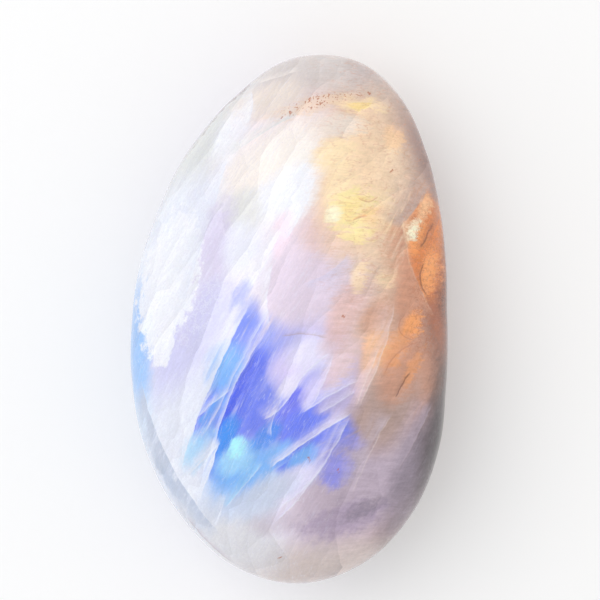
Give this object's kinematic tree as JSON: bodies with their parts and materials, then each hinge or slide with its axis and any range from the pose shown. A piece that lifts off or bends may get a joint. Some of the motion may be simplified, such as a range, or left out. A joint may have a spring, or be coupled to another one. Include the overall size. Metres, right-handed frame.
{
  "type": "polished moonstone pebble",
  "caption": "Egg-shaped polished moonstone pebble lying on its broad back, resting on a small flat spot.",
  "frame": {"origin": "on the surface that the stone rests on, below the middle of its length and width", "axes": "+Y along the stone towards its narrow end, +Z up through the broad face that the picture shows, +X to the right seen from above with +Y up"},
  "size_m": [0.036, 0.06, 0.0251],
  "materials": {
    "moonstone": "polished"
  },
  "bodies": {
    "root": {"moonstone": "moonstone"}
  },
  "joints": []
}
